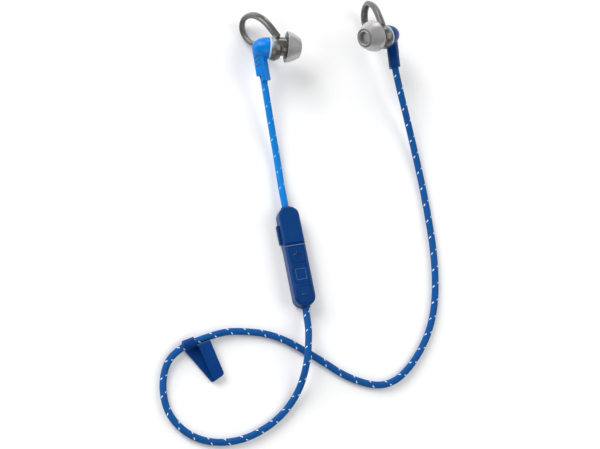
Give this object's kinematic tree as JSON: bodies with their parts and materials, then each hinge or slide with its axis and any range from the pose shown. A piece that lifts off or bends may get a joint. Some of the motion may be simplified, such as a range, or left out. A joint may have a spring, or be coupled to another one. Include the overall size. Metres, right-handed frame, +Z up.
{
  "type": "neckband earphones",
  "caption": "In-ear earphones on a braided neck cord, with soft ear tips, stabiliser loops, a keyed control pod and a shirt clip, lying flat.",
  "frame": {"origin": "centre of the control pod's flat back face, on the table", "axes": "+Z up off the table, +Y away from the cord's low loop towards the ear buds, +X towards the navy bud"},
  "size_m": [0.1189, 0.1939, 0.0273],
  "materials": {
    "board_green": "solder mask",
    "bright_braid": "woven, with pale flecks",
    "bright_shell": "satin",
    "cell_foil": "foil",
    "clear_grey_silicone": "soft, slightly see-through",
    "dark_teal_print": "satin",
    "film": "thin film",
    "grey_silicone": "soft, smooth",
    "light_lens": "clear lens",
    "mesh_steel": "woven mesh",
    "navy_braid": "woven, with white flecks",
    "navy_clip": "satin",
    "navy_gloss": "satin gloss",
    "navy_keys": "satin",
    "navy_shell": "satin",
    "pale_ring": "glossy",
    "rubber_black": "matt",
    "rubber_navy": "matt",
    "steel": "brushed",
    "switch_black": "matt"
  },
  "bodies": {
    "headset": {"battery": "cell_foil", "bright_cord": "bright_braid", "circuit_board": "board_green", "key_switches": "switch_black", "left_accent_bars": "dark_teal_print", "left_cord_grommet": "rubber_black", "left_driver_diaphragm": "film", "left_driver_frame": "steel", "left_driver_magnet": "steel", "left_front_housing": "pale_ring", "left_nozzle_mesh": "mesh_steel", "left_rear_shell": "bright_shell", "lower_cord_gland": "rubber_navy", "microphone": "steel", "navy_cord": "navy_braid", "pod_back_shell": "navy_gloss", "pod_front_shell": "navy_gloss", "power_switch": "switch_black", "right_accent_bars": "dark_teal_print", "right_cord_grommet": "rubber_black", "right_driver_diaphragm": "film", "right_driver_frame": "steel", "right_driver_magnet": "steel", "right_front_housing": "pale_ring", "right_nozzle_mesh": "mesh_steel", "right_rear_shell": "navy_shell", "status_light": "light_lens", "upper_cord_gland": "rubber_navy", "usb_socket": "steel"},
    "volume_up": {"volume_up_key": "navy_keys"},
    "play": {"play_key": "navy_keys"},
    "volume_down": {"volume_down_key": "navy_keys"},
    "power": {"power_button": "navy_keys"},
    "door": {"port_door": "navy_keys"},
    "clip": {"clip_frame": "navy_clip", "clip_pin": "steel", "clip_spring": "steel"},
    "jaw": {"clip_jaw": "navy_clip"},
    "left_stabilizer_body": {"left_stabilizer": "grey_silicone"},
    "left_tip_body": {"left_ear_tip": "clear_grey_silicone"},
    "right_stabilizer_body": {"right_stabilizer": "grey_silicone"},
    "right_tip_body": {"right_ear_tip": "clear_grey_silicone"}
  },
  "joints": [
    {"name": "volume_up_press", "type": "slide", "parent": "headset", "child": "volume_up", "axis": [0, 0, -1], "range_m": [0, 0.0004], "stiffness_N_per_m": 1500, "springref_m": -0.0004},
    {"name": "play_press", "type": "slide", "parent": "headset", "child": "play", "axis": [0, 0, -1], "range_m": [0, 0.0004], "stiffness_N_per_m": 1500, "springref_m": -0.0004},
    {"name": "volume_down_press", "type": "slide", "parent": "headset", "child": "volume_down", "axis": [0, 0, -1], "range_m": [0, 0.0004], "stiffness_N_per_m": 1500, "springref_m": -0.0004},
    {"name": "power_press", "type": "slide", "parent": "headset", "child": "power", "axis": [0.9803, 0.1977, 0], "range_m": [0, 0.0004], "stiffness_N_per_m": 1500, "springref_m": -0.0004},
    {"name": "port_door_hinge", "type": "hinge", "parent": "headset", "child": "door", "pos_m": [0.00236, 0.00902, 0.0027], "axis": [0, 0, -1], "range_deg": [0, 100]},
    {"name": "clip_spin", "type": "hinge", "parent": "headset", "child": "clip", "pos_m": [-0.0443, -0.03815, 0.00225], "axis": [0.9114, 0.4115, 0], "continuous": true},
    {"name": "clip_jaw_hinge", "type": "hinge", "parent": "clip", "child": "jaw", "pos_m": [-0.04055, -0.04085, 0.00215], "axis": [-0.9114, -0.4115, 0], "range_deg": [0, 16], "stiffness_Nm_per_rad": 0.02, "springref_deg": -28.65},
    {"name": "left_stabilizer_pull", "type": "slide", "parent": "headset", "child": "left_stabilizer_body", "axis": [0.9995, -0.03, -0.01], "range_m": [0, 0.009]},
    {"name": "left_tip_pull", "type": "slide", "parent": "left_stabilizer_body", "child": "left_tip_body", "axis": [0.9995, -0.03, -0.01], "range_m": [0, 0.008]},
    {"name": "right_stabilizer_pull", "type": "slide", "parent": "headset", "child": "right_stabilizer_body", "axis": [-0.7901, -0.385, 0.477], "range_m": [0, 0.009]},
    {"name": "right_tip_pull", "type": "slide", "parent": "right_stabilizer_body", "child": "right_tip_body", "axis": [-0.7901, -0.385, 0.477], "range_m": [0, 0.008]}
  ]
}
